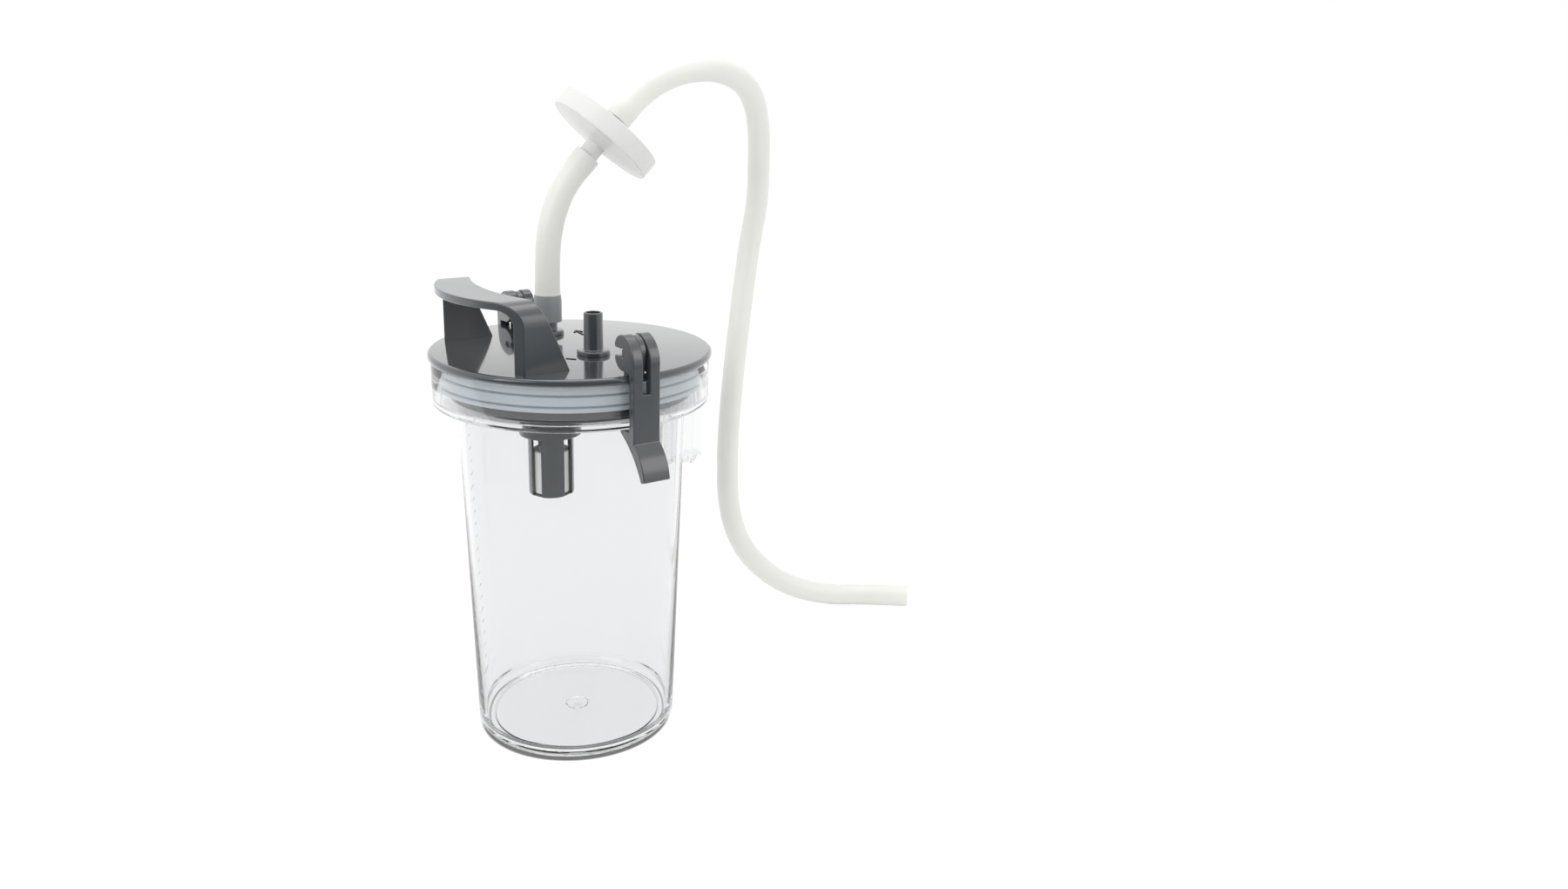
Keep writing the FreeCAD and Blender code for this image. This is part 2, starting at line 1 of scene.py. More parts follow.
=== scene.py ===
# Looks of a vacuum collection jar: clear jar, latched lid with its handle, float valve, disc filter and hose.
# Outlines and their sizes are in millimetres, as on a maker's drawing; every other length is in metres.

import math

import bmesh
import bpy
from mathutils import Matrix, Vector


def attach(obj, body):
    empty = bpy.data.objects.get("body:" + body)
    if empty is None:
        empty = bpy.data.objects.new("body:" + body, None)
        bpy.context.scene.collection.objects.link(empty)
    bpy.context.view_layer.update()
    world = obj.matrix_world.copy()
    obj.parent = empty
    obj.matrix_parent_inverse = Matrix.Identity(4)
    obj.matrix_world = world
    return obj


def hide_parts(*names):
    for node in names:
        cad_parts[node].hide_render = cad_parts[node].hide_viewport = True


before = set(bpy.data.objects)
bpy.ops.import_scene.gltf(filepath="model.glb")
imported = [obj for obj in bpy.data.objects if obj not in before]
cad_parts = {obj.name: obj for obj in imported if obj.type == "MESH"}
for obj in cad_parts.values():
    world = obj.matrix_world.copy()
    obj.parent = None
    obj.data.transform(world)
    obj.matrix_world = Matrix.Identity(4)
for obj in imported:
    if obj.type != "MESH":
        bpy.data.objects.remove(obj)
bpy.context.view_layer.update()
scene = bpy.context.scene
scene.view_settings.view_transform = "Standard"
scene.cycles.max_bounces = 32
scene.cycles.glossy_bounces = 16
scene.cycles.transmission_bounces = 24

# Camera
# It stands in front of the jar on the latch side, a little above the lid, and leans by less than two degrees.
camera_place = (0.5016, -0.2512, 0.3110)
forward = Vector((-0.7856, 0.5624, -0.2580)).normalized()
lean_degrees = -1.42
camera_data = bpy.data.cameras.new("photo_camera")
camera_data.sensor_width = 36.0
camera_data.lens = 28.1
camera_data.shift_x = 0.0156
camera_data.shift_y = -0.0289
camera = bpy.data.objects.new("photo_camera", camera_data)
scene.collection.objects.link(camera)
level = forward.cross(Vector((0, 0, 1))).normalized()
lean = Matrix.Rotation(math.radians(lean_degrees), 3, forward)
across = lean @ level
above = lean @ level.cross(forward)
turned_to_jar = Matrix((across, above, -forward)).transposed().to_4x4()
camera.matrix_world = Matrix.Translation(camera_place) @ turned_to_jar
scene.camera = camera

# Room
# A white sweep that runs out to a white room, three large soft lamps, and the dim side of the studio behind
# the camera, which only gloss sees: it draws clear edges and keeps upright faces dark. The sweep's glow stops
# in a narrow crescent at the jar's foot, a painted shadow of the foot that falls towards the camera.
room_light, white = 0.80, 1.0
sweep_half, sweep_depth = 9, 0.0002
sweep_glow, shadow_glow = 0.88, 0.03
# Each circle of the painted shadow's crescent: its middle, where it starts to fade and where it has faded
under_foot = ((0, 0, 0), 0.0440, 0.0448)
around_foot = ((0.0016, -0.0011, 0), 0.0472, 0.0456)
dim_glow = 0.14
dim_start, dim_end, dim_half, dim_lift, dim_height = 0.28, 1.15, 1.2, 0.001, 1.4


def new_material(name):
    """A material with no nodes but its output."""
    material = bpy.data.materials.new(name)
    material.use_nodes = True
    material.node_tree.nodes.clear()
    output = material.node_tree.nodes.new("ShaderNodeOutputMaterial")
    return material, material.node_tree, output


def seen_directly(tree):
    """1 where a surface is seen, itself, in a gloss or through clear plastic; 0 where it only gives light."""
    path = tree.nodes.new("ShaderNodeLightPath")
    gloss = tree.nodes.new("ShaderNodeMath")
    gloss.operation = "ADD"
    tree.links.new(path.outputs["Is Camera Ray"], gloss.inputs[0])
    tree.links.new(path.outputs["Is Glossy Ray"], gloss.inputs[1])
    clear = tree.nodes.new("ShaderNodeMath")
    clear.operation = "ADD"
    clear.use_clamp = True
    tree.links.new(gloss.outputs[0], clear.inputs[0])
    tree.links.new(path.outputs["Is Transmission Ray"], clear.inputs[1])
    return clear.outputs[0]


world = bpy.data.worlds.new("white_room")
scene.world = world
world.use_nodes = True
world.node_tree.nodes.clear()
world_output = world.node_tree.nodes.new("ShaderNodeOutputWorld")
sky = world.node_tree.nodes.new("ShaderNodeBackground")
sky.inputs["Color"].default_value = (white, white, white, 1)
sky_level = world.node_tree.nodes.new("ShaderNodeMapRange")
sky_level.inputs["To Min"].default_value = room_light
sky_level.inputs["To Max"].default_value = white
world.node_tree.links.new(seen_directly(world.node_tree), sky_level.inputs["Value"])
world.node_tree.links.new(sky_level.outputs["Result"], sky.inputs["Strength"])
world.node_tree.links.new(sky.outputs[0], world_output.inputs["Surface"])

sweep_paint, tree, output = new_material("sweep_paint")
matt = tree.nodes.new("ShaderNodeBsdfDiffuse")
matt.inputs["Color"].default_value = (0.90, 0.90, 0.90, 1)
pale = tree.nodes.new("ShaderNodeBsdfDiffuse")
pale.inputs["Color"].default_value = (0.20, 0.20, 0.20, 1)
glow = tree.nodes.new("ShaderNodeEmission")
ground = tree.nodes.new("ShaderNodeTexCoord")
# The painted shadow of the jar's foot: the glow is lowered inside the crescent between these two circles
crescent = []
for middle, near, far in (under_foot, around_foot):
    away = tree.nodes.new("ShaderNodeVectorMath")
    away.operation = "DISTANCE"
    away.inputs[1].default_value = middle
    edge = tree.nodes.new("ShaderNodeMapRange")
    edge.interpolation_type = "SMOOTHSTEP"
    edge.inputs["From Min"].default_value = near
    edge.inputs["From Max"].default_value = far
    tree.links.new(ground.outputs["Object"], away.inputs[0])
    tree.links.new(away.outputs["Value"], edge.inputs["Value"])
    crescent.append(edge.outputs["Result"])
# Painted shadow: 1 inside the crescent, where the sweep's glow drops to shadow_glow
painted_contact_shadow = tree.nodes.new("ShaderNodeMath")
painted_contact_shadow.operation = "MULTIPLY"
tree.links.new(crescent[0], painted_contact_shadow.inputs[0])
tree.links.new(crescent[1], painted_contact_shadow.inputs[1])
glow_level = tree.nodes.new("ShaderNodeMapRange")
glow_level.inputs["To Min"].default_value = sweep_glow
glow_level.inputs["To Max"].default_value = shadow_glow
tree.links.new(painted_contact_shadow.outputs[0], glow_level.inputs["Value"])
tree.links.new(glow_level.outputs["Result"], glow.inputs["Strength"])
lit = tree.nodes.new("ShaderNodeAddShader")
choice = tree.nodes.new("ShaderNodeMixShader")
tree.links.new(pale.outputs[0], lit.inputs[0])
tree.links.new(glow.outputs[0], lit.inputs[1])
tree.links.new(seen_directly(tree), choice.inputs[0])
tree.links.new(matt.outputs[0], choice.inputs[1])
tree.links.new(lit.outputs[0], choice.inputs[2])
tree.links.new(choice.outputs[0], output.inputs["Surface"])

sweep_mesh = bpy.data.meshes.new("sweep")
sweep_mesh.from_pydata([
    (x * sweep_half, y * sweep_half, -sweep_depth) for x, y in ((-1, -1), (1, -1), (1, 1), (-1, 1))
], [], [(0, 1, 2, 3)])
sweep = bpy.data.objects.new("sweep", sweep_mesh)
sweep_mesh.materials.append(sweep_paint)
scene.collection.objects.link(sweep)


def aimed(place, target):
    """A matrix at place whose -Z looks at target."""
    look = (Vector(target) - Vector(place)).to_track_quat("-Z", "Y")
    return Matrix.Translation(place) @ look.to_matrix().to_4x4()


lit_point = (0, 0, 0.14)
for name, place, width, height, watts in (
    ("overhead_softbox", (-0.15, 0.05, 1.45), 1.1, 0.9, 6.0),
    ("left_softbox", (0.35, -1.25, 0.75), 0.7, 0.9, 4.0),
    ("right_softbox", (1.15, 0.75, 0.85), 0.5, 0.8, 2.0),
):
    lamp = bpy.data.lights.new(name, "AREA")
    lamp.shape = "RECTANGLE"
    lamp.size = width
    lamp.size_y = height
    lamp.energy = watts
    box = bpy.data.objects.new(name, lamp)
    box.matrix_world = aimed(place, lit_point)
    scene.collection.objects.link(box)

dim_paint, tree, output = new_material("dim_paint")
dim = tree.nodes.new("ShaderNodeEmission")
dim.inputs["Strength"].default_value = dim_glow
tree.links.new(dim.outputs[0], output.inputs["Surface"])
dim_mesh = bpy.data.meshes.new("dim_side")
dim_mesh.from_pydata([
    (dim_start, -dim_half, dim_lift), (dim_start, dim_half, dim_lift), (dim_end, dim_half, dim_lift),
    (dim_end, -dim_half, dim_lift), (dim_end, -dim_half, dim_height), (dim_end, dim_half, dim_height),
], [], [(0, 1, 2, 3), (3, 2, 5, 4)])
dim_mesh.transform(Matrix.Rotation(math.atan2(-forward.y, -forward.x), 4, "Z"))
dim_mesh.materials.append(dim_paint)
dim_side = bpy.data.objects.new("dim_side", dim_mesh)
dim_side.visible_camera = False
dim_side.visible_diffuse = False
dim_side.visible_transmission = False
dim_side.visible_shadow = False
scene.collection.objects.link(dim_side)

# Jar
# A tapered one-litre cup that widens into a collar for the lid, injection moulded in clear polycarbonate,
# with a hanger tongue on its back. The mould's gate ring and an ejector ring stay on the floor.
foot_radius, foot_ring, foot_rise, foot_round = 47.8, 40.7, 0.6, 3.6
taper_start = (47.85, 5.0)
cup_radius, cup_inside_top, cup_inside_foot = 52.8, 50.4, 45.4
floor_top, floor_round = 2.6, 4.3
collar_bottom, collar_floor, collar_top = 162.7, 165.2, 182.7
collar_radius, collar_inside, collar_edge = 63.6, 61.0, 0.5
gate_mark, gate_mark_top = 2.4, 3.0
hanger_bottom, stem_start, stem_end, stem_half, stem_sunk = 120.6, 51.1, 64.5, 4.0, 0.2
head_start, head_face, head_half_bottom, head_half_top = 62.5, 67.5, 7.0, 8.5
slant_depth, slant_height = 4.5, 8.1
polycarbonate_tint, polycarbonate_bend, lamp_tint = (0.875, 0.88, 0.885), 1.58, 0.93
# The side wall is so thin that it bends light less; its middle and half its height, in metres
thin_wall_bend, thin_wall_middle, thin_wall_half = 1.20, 0.0835, 0.077
corner_steps = 6


def eased(corners):
    """The corners of an outline, in metres. A corner with a third number is rounded to that radius."""
    points = []
    for before, corner, after in zip(corners[-1:] + corners[:-1], corners, corners[1:] + corners[:1]):
        here = Vector(corner[:2])
        radius = corner[2] if len(corner) > 2 else 0
        if radius == 0:
            points.append(here / 1000)
            continue
        back = (Vector(before[:2]) - here).normalized()
        ahead = (Vector(after[:2]) - here).normalized()
        half = back.angle(ahead) / 2
        middle = here + (back + ahead).normalized() * radius / math.sin(half)
        first = here + back * radius / math.tan(half) - middle
        last = here + ahead * radius / math.tan(half) - middle
        for step in range(corner_steps + 1):
            share = step / corner_steps
            swung = first.lerp(last, share).normalized() * radius
            points.append((middle + swung) / 1000)
    return points


def new_piece(name, shell, material, smooth_below=35):
    """An object from a bmesh, shaded smooth up to an angle in degrees."""
    mesh = bpy.data.meshes.new(name)
    shell.to_mesh(mesh)
    shell.free()
    mesh.shade_smooth()
    mesh.set_sharp_from_angle(angle=math.radians(smooth_below))
    mesh.materials.append(material)
    piece = bpy.data.objects.new(name, mesh)
    scene.collection.objects.link(piece)
    return piece


def turned(name, corners, material, at=(0, 0, 0), along=(0, 0, 1), steps=160):
    """A closed outline of (radius, height) corners turned about an axis; ends on the axis become poles."""
    shell = bmesh.new()
    rings = []
    for radius, height in eased(corners):
        count = 1 if radius < 1e-6 else steps
        turns = [math.tau * k / steps for k in range(count)]
        rings.append([
            shell.verts.new((radius * math.cos(turn), radius * math.sin(turn), height)) for turn in turns
        ])
    for low, high in zip(rings, rings[1:] + rings[:1]):
        if len(low) == len(high) == 1:
            continue
        for k in range(steps):
            there = (k + 1) % steps
            quad = (low[k % len(low)], low[there % len(low)], high[there % len(high)], high[k % len(high)])
            shell.faces.new(list(dict.fromkeys(quad)))
    swing = Vector((0, 0, 1)).rotation_difference(Vector(along)).to_matrix().to_4x4()
    bmesh.ops.transform(shell, matrix=Matrix.Translation(Vector(at) / 1000) @ swing, verts=shell.verts)
    bmesh.ops.recalc_face_normals(shell, faces=shell.faces)
    return new_piece(name, shell, material)


def slab(name, corners, near, far, material, upright=True):
    """A prism of an outline: an upright outline is (x, z) and runs along y, a flat one is (x, y), along z."""
    shell = bmesh.new()
    faces = []
    for depth in (near / 1000, far / 1000):
        verts = [
            shell.verts.new((point.x, depth, point.y) if upright else (point.x, point.y, depth))
            for point in eased(corners)
        ]
        faces.append(shell.faces.new(verts))
    first, second = (list(face.verts) for face in faces)
    for k in range(len(first)):
        there = (k + 1) % len(first)
        shell.faces.new((first[k], first[there], second[there], second[k]))
    bmesh.ops.recalc_face_normals(shell, faces=shell.faces)
    return new_piece(name, shell, material)


def finished(piece):
    """Bake a piece's modifiers into its own mesh."""
    ready = bpy.data.meshes.new_from_object(piece.evaluated_get(bpy.context.evaluated_depsgraph_get()))
    piece.modifiers.clear()
    piece.data = ready
    return piece


def joined(piece, tool, operation):
    """Unite a piece with another one, or cut it with one, and drop that one."""
    change = piece.modifiers.new(operation.lower(), "BOOLEAN")
    change.operation = operation
    change.solver = "EXACT"
    change.object = tool
    finished(piece)
    bpy.data.objects.remove(tool)
    piece.data.shade_smooth()
    piece.data.set_sharp_from_angle(angle=math.radians(35))
    return piece


def see_through(name, tint, ior, roughness):
    """Clear plastic that lets the lamps' light through to what stands in it."""
    material, tree, output = new_material(name)
    body = tree.nodes.new("ShaderNodeBsdfPrincipled")
    body.inputs["Base Color"].default_value = (*tint, 1)
    body.inputs["IOR"].default_value = ior
    body.inputs["Roughness"].default_value = roughness
    body.inputs["Transmission Weight"].default_value = 1.0
    lamp_way = tree.nodes.new("ShaderNodeBsdfTransparent")
    lamp_way.inputs["Color"].default_value = (lamp_tint, lamp_tint, lamp_tint, 1)
    path = tree.nodes.new("ShaderNodeLightPath")
    either = tree.nodes.new("ShaderNodeMath")
    either.operation = "MAXIMUM"
    tree.links.new(path.outputs["Is Shadow Ray"], either.inputs[0])
    tree.links.new(path.outputs["Is Diffuse Ray"], either.inputs[1])
    mix = tree.nodes.new("ShaderNodeMixShader")
    tree.links.new(either.outputs[0], mix.inputs[0])
    tree.links.new(body.outputs[0], mix.inputs[1])
    tree.links.new(lamp_way.outputs[0], mix.inputs[2])
    tree.links.new(mix.outputs[0], output.inputs["Surface"])
    return material, tree, body


clear_polycarbonate, tree, body = see_through(
    "clear_polycarbonate", polycarbonate_tint, polycarbonate_bend, roughness=0.02,
)
coordinates = tree.nodes.new("ShaderNodeTexCoord")
flow = tree.nodes.new("ShaderNodeTexNoise")
flow.inputs["Scale"].default_value = 22.0
flow.inputs["Detail"].default_value = 1.0
skin = tree.nodes.new("ShaderNodeBump")
skin.inputs["Strength"].default_value = 0.12
skin.inputs["Distance"].default_value = 0.0006
tree.links.new(coordinates.outputs["Object"], flow.inputs["Vector"])
tree.links.new(flow.outputs["Fac"], skin.inputs["Height"])
tree.links.new(skin.outputs["Normal"], body.inputs["Normal"])
height = tree.nodes.new("ShaderNodeSeparateXYZ")
thin_wall = tree.nodes.new("ShaderNodeMath")
thin_wall.operation = "COMPARE"
thin_wall.inputs[1].default_value = thin_wall_middle
thin_wall.inputs[2].default_value = thin_wall_half
weaker_bend = tree.nodes.new("ShaderNodeMapRange")
weaker_bend.inputs["To Min"].default_value = polycarbonate_bend
weaker_bend.inputs["To Max"].default_value = thin_wall_bend
tree.links.new(coordinates.outputs["Object"], height.inputs[0])
tree.links.new(height.outputs["Z"], thin_wall.inputs[0])
tree.links.new(thin_wall.outputs[0], weaker_bend.inputs["Value"])
tree.links.new(weaker_bend.outputs["Result"], body.inputs["IOR"])


def ring_groove(outer, inner, slope, depth):
    """Corners of a ring pressed into the jar's floor, from its outer edge inwards."""
    return [
        (outer, floor_top), (outer - slope, floor_top - depth),
        (inner + slope, floor_top - depth), (inner, floor_top),
    ]


under_floor = [(0, foot_rise), (foot_ring - 0.3, foot_rise, 0.3), (foot_ring, 0, 0.3)]
outside = [
    (foot_radius, 0, foot_round), taper_start, (cup_radius, collar_bottom, 0.5),
    (collar_radius, collar_bottom, 0.9), (collar_radius, collar_top, collar_edge),
]
inside = [
    (collar_inside, collar_top, collar_edge), (collar_inside, collar_floor, 0.8),
    (cup_inside_top, collar_floor, 0.6), (cup_inside_foot, floor_top, floor_round),
]
ejector_ring = ring_groove(41.4, 40.5, 0.2, 0.6)
gate_ring = ring_groove(6.0, 5.1, 0.25, 0.35)
gate_rise = [(gate_mark, floor_top), (gate_mark - 0.8, gate_mark_top - 0.05), (0, gate_mark_top)]
jar = turned(
    "jar_moulding", under_floor + outside + inside + ejector_ring + gate_ring + gate_rise,
    clear_polycarbonate, steps=192,
)
stem = slab("hanger_stem", [
    (-stem_half, stem_start), (stem_half, stem_start), (stem_half, stem_end), (-stem_half, stem_end),
], hanger_bottom, collar_bottom + stem_sunk, clear_polycarbonate, upright=False)
head = slab("hanger_head", [
    (-head_half_bottom, hanger_bottom, 1.0), (head_half_bottom, hanger_bottom, 1.0),
    (head_half_top, collar_bottom, 0.6), (-head_half_top, collar_bottom, 0.6),
], head_start, head_face, clear_polycarbonate)
# The head's face slants in at its lower end, so that it finds its way into its holder
wedge_half, wedge_bottom, wedge_top, wedge_depth = 12, -4, 5, 16
wedge = slab("hanger_slant", [
    (-wedge_half, wedge_bottom), (wedge_half, wedge_bottom),
    (wedge_half, wedge_top), (-wedge_half, wedge_top),
], 0, wedge_depth, clear_polycarbonate)
slant_foot = Vector((0, head_face - slant_depth, hanger_bottom)) / 1000
wedge.data.transform(
    Matrix.Translation(slant_foot) @ Matrix.Rotation(-math.atan2(slant_depth, slant_height), 4, "X")
)
joined(head, wedge, "DIFFERENCE")
joined(jar, joined(stem, head, "UNION"), "UNION")
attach(jar, "canister")
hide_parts("jar", "jar_collar", "jar_hanger")


# Graduation
# Fine bars moulded proud of the jar's left side, every fifth one long, that count the volume; they are so low
# that they catch the light only here and there. One tree lays them out and wraps them round the tapered wall.
def socket(tree, name, kind, value=None):
    """A named input of a node tree with its value."""
    made = tree.interface.new_socket(name, in_out="INPUT", socket_type=kind)
    if value is not None:
        made.default_value = value
    return made


scale_tree = bpy.data.node_groups.new("wrapped_graduation", "GeometryNodeTree")
socket(scale_tree, "Geometry", "NodeSocketGeometry")
socket(scale_tree, "Bars", "NodeSocketInt")
socket(scale_tree, "Long every", "NodeSocketInt")
for name in (
    "Lowest", "Spacing", "Short bar", "Long bar", "Bar height", "Relief", "Start angle", "Foot radius",
    "Taper",
):
    socket(scale_tree, name, "NodeSocketFloat")
socket(scale_tree, "Material", "NodeSocketMaterial")
scale_tree.interface.new_socket("Geometry", in_out="OUTPUT", socket_type="NodeSocketGeometry")
given = scale_tree.nodes.new("NodeGroupInput")
result = scale_tree.nodes.new("NodeGroupOutput")


def link(source, target):
    scale_tree.links.new(source, target)


def maths(operation, first, second=None):
    """One sum of two fields, or of a field and a number."""
    node = scale_tree.nodes.new("ShaderNodeMath")
    node.operation = operation
    for value, place in ((first, 0), (second, 1)):
        if isinstance(value, (int, float)):
            node.inputs[place].default_value = value
        elif value is not None:
            link(value, node.inputs[place])
    return node.outputs[0]


stack = scale_tree.nodes.new("GeometryNodeMeshLine")
link(given.outputs["Bars"], stack.inputs["Count"])
lowest = scale_tree.nodes.new("ShaderNodeCombineXYZ")
link(given.outputs["Lowest"], lowest.inputs["Z"])
link(lowest.outputs[0], stack.inputs["Start Location"])
spacing = scale_tree.nodes.new("ShaderNodeCombineXYZ")
link(given.outputs["Spacing"], spacing.inputs["Z"])
link(spacing.outputs[0], stack.inputs["Offset"])
bar = scale_tree.nodes.new("GeometryNodeMeshCube")
bar.inputs["Vertices X"].default_value = 7
index = scale_tree.nodes.new("GeometryNodeInputIndex")
is_long = maths("LESS_THAN", maths("MODULO", index.outputs[0], given.outputs["Long every"]), 0.5)
length = maths(
    "ADD", given.outputs["Short bar"],
    maths("MULTIPLY", is_long, maths("SUBTRACT", given.outputs["Long bar"], given.outputs["Short bar"])),
)
bar_size = scale_tree.nodes.new("ShaderNodeCombineXYZ")
link(length, bar_size.inputs["X"])
link(maths("MULTIPLY", given.outputs["Relief"], 2), bar_size.inputs["Y"])
link(given.outputs["Bar height"], bar_size.inputs["Z"])
lined_up = scale_tree.nodes.new("GeometryNodeSetPosition")
half_length = scale_tree.nodes.new("ShaderNodeCombineXYZ")
link(maths("MULTIPLY", length, 0.5), half_length.inputs["X"])
link(stack.outputs["Mesh"], lined_up.inputs["Geometry"])
link(half_length.outputs[0], lined_up.inputs["Offset"])
placed = scale_tree.nodes.new("GeometryNodeInstanceOnPoints")
link(lined_up.outputs[0], placed.inputs["Points"])
link(bar.outputs["Mesh"], placed.inputs["Instance"])
link(bar_size.outputs[0], placed.inputs["Scale"])
real = scale_tree.nodes.new("GeometryNodeRealizeInstances")
link(placed.outputs[0], real.inputs[0])
flat = scale_tree.nodes.new("ShaderNodeSeparateXYZ")
link(scale_tree.nodes.new("GeometryNodeInputPosition").outputs[0], flat.inputs[0])
widening = maths("MULTIPLY", flat.outputs["Z"], given.outputs["Taper"])
wall = maths("ADD", given.outputs["Foot radius"], widening)
angle = maths("ADD", given.outputs["Start angle"], maths("DIVIDE", flat.outputs["X"], wall))
radius = maths("ADD", wall, flat.outputs["Y"])
bent = scale_tree.nodes.new("ShaderNodeCombineXYZ")
link(maths("MULTIPLY", radius, maths("COSINE", angle)), bent.inputs["X"])
link(maths("MULTIPLY", radius, maths("SINE", angle)), bent.inputs["Y"])
link(flat.outputs["Z"], bent.inputs["Z"])
wrapped = scale_tree.nodes.new("GeometryNodeSetPosition")
link(real.outputs[0], wrapped.inputs["Geometry"])
link(bent.outputs[0], wrapped.inputs["Position"])
painted = scale_tree.nodes.new("GeometryNodeSetMaterial")
link(wrapped.outputs[0], painted.inputs["Geometry"])
link(given.outputs["Material"], painted.inputs["Material"])
link(painted.outputs[0], result.inputs[0])

graduation = bpy.data.objects.new("graduation", bpy.data.meshes.new("graduation"))
scene.collection.objects.link(graduation)
layout = graduation.modifiers.new("graduation", "NODES")
layout.node_group = scale_tree
sizes = {
    "Bars": 21, "Long every": 5, "Lowest": 0.020, "Spacing": 0.0064, "Short bar": 0.0045, "Long bar": 0.0085,
    "Bar height": 0.0005, "Relief": 0.00018, "Start angle": math.radians(-128), "Foot radius": 0.04769,
    "Taper": 5.0 / 159, "Material": clear_polycarbonate,
}
for entry in scale_tree.interface.items_tree:
    if entry.in_out == "INPUT" and entry.name in sizes:
        layout[entry.identifier] = sizes[entry.name]
finished(graduation)
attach(graduation, "canister")

# Gasket
# A soft silicone sleeve stretched over the lid's skirt; its three bands seal against the clear collar.
moulded_skin = bpy.data.node_groups.new("moulded_skin", "ShaderNodeTree")
socket(moulded_skin, "Colour", "NodeSocketColor")
socket(moulded_skin, "Tone spread", "NodeSocketFloat")
socket(moulded_skin, "Roughness", "NodeSocketFloat")
socket(moulded_skin, "Roughness spread", "NodeSocketFloat")
socket(moulded_skin, "Grain depth", "NodeSocketFloat")
moulded_skin.interface.new_socket("Colour", in_out="OUTPUT", socket_type="NodeSocketColor")
moulded_skin.interface.new_socket("Roughness", in_out="OUTPUT", socket_type="NodeSocketFloat")
moulded_skin.interface.new_socket("Normal", in_out="OUTPUT", socket_type="NodeSocketVector")
given = moulded_skin.nodes.new("NodeGroupInput")
result = moulded_skin.nodes.new("NodeGroupOutput")
coordinates = moulded_skin.nodes.new("ShaderNodeTexCoord")
clouds = moulded_skin.nodes.new("ShaderNodeTexNoise")
clouds.inputs["Scale"].default_value = 70.0
clouds.inputs["Detail"].default_value = 3.0
grain = moulded_skin.nodes.new("ShaderNodeTexNoise")
grain.inputs["Scale"].default_value = 2600.0
grain.inputs["Detail"].default_value = 2.0
for texture in (clouds, grain):
    moulded_skin.links.new(coordinates.outputs["Object"], texture.inputs["Vector"])
swing = moulded_skin.nodes.new("ShaderNodeMath")
swing.operation = "SUBTRACT"
swing.inputs[1].default_value = 0.5
moulded_skin.links.new(clouds.outputs["Fac"], swing.inputs[0])
tone = moulded_skin.nodes.new("ShaderNodeMath")
tone.operation = "MULTIPLY_ADD"
tone.inputs[2].default_value = 1.0
moulded_skin.links.new(swing.outputs[0], tone.inputs[0])
moulded_skin.links.new(given.outputs["Tone spread"], tone.inputs[1])
shade = moulded_skin.nodes.new("ShaderNodeVectorMath")
shade.operation = "SCALE"
moulded_skin.links.new(given.outputs["Colour"], shade.inputs[0])
moulded_skin.links.new(tone.outputs[0], shade.inputs["Scale"])
moulded_skin.links.new(shade.outputs[0], result.inputs["Colour"])
smear = moulded_skin.nodes.new("ShaderNodeMath")
smear.operation = "MULTIPLY_ADD"
moulded_skin.links.new(swing.outputs[0], smear.inputs[0])
moulded_skin.links.new(given.outputs["Roughness spread"], smear.inputs[1])
moulded_skin.links.new(given.outputs["Roughness"], smear.inputs[2])
moulded_skin.links.new(smear.outputs[0], result.inputs["Roughness"])
relief = moulded_skin.nodes.new("ShaderNodeBump")
relief.inputs["Distance"].default_value = 0.0001
moulded_skin.links.new(given.outputs["Grain depth"], relief.inputs["Strength"])
moulded_skin.links.new(grain.outputs["Fac"], relief.inputs["Height"])
moulded_skin.links.new(relief.outputs["Normal"], result.inputs["Normal"])


def moulded(name, colour, roughness, tone_spread=0.10, roughness_spread=0.12, grain_depth=0.15, **plain):
    """A plastic or rubber with the moulded skin; plain are the shader's own sockets, such as Coat_Weight."""
    material, tree, output = new_material(name)
    skin = tree.nodes.new("ShaderNodeGroup")
    skin.node_tree = moulded_skin
    skin.inputs["Colour"].default_value = (*colour, 1)
    skin.inputs["Tone spread"].default_value = tone_spread
    skin.inputs["Roughness"].default_value = roughness
    skin.inputs["Roughness spread"].default_value = roughness_spread
    skin.inputs["Grain depth"].default_value = grain_depth
    body = tree.nodes.new("ShaderNodeBsdfPrincipled")
    for socket_name, value in plain.items():
        body.inputs[socket_name.replace("_", " ")].default_value = value
    tree.links.new(skin.outputs["Colour"], body.inputs["Base Color"])
    tree.links.new(skin.outputs["Roughness"], body.inputs["Roughness"])
    tree.links.new(skin.outputs["Normal"], body.inputs["Normal"])
    tree.links.new(body.outputs[0], output.inputs["Surface"])
    return material


skirt_outer = 57.0
gasket_bottom, gasket_top, groove_radius, band_radius = 170.5, 182.5, 59.2, 60.9
low_band, middle_band, high_band_bottom = (171.0, 173.0), (173.8, 177.9), 178.7
pale_silicone = moulded("pale_silicone", (0.55, 0.61, 0.65), 0.38, grain_depth=0.2)
sleeve = [(skirt_outer, gasket_bottom, 0.2), (groove_radius, gasket_bottom, 0.4)]
for bottom, top in (low_band, middle_band):
    sleeve += [
        (groove_radius, bottom), (band_radius, bottom, 0.6), (band_radius, top, 0.6), (groove_radius, top),
    ]
sleeve += [
    (groove_radius, high_band_bottom), (band_radius, high_band_bottom, 0.6), (band_radius, gasket_top, 0.3),
    (skirt_outer, gasket_top, 0.2),
]
gasket = turned("lid_gasket_sleeve", sleeve, pale_silicone)
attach(gasket, "canister")
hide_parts("lid_gasket")

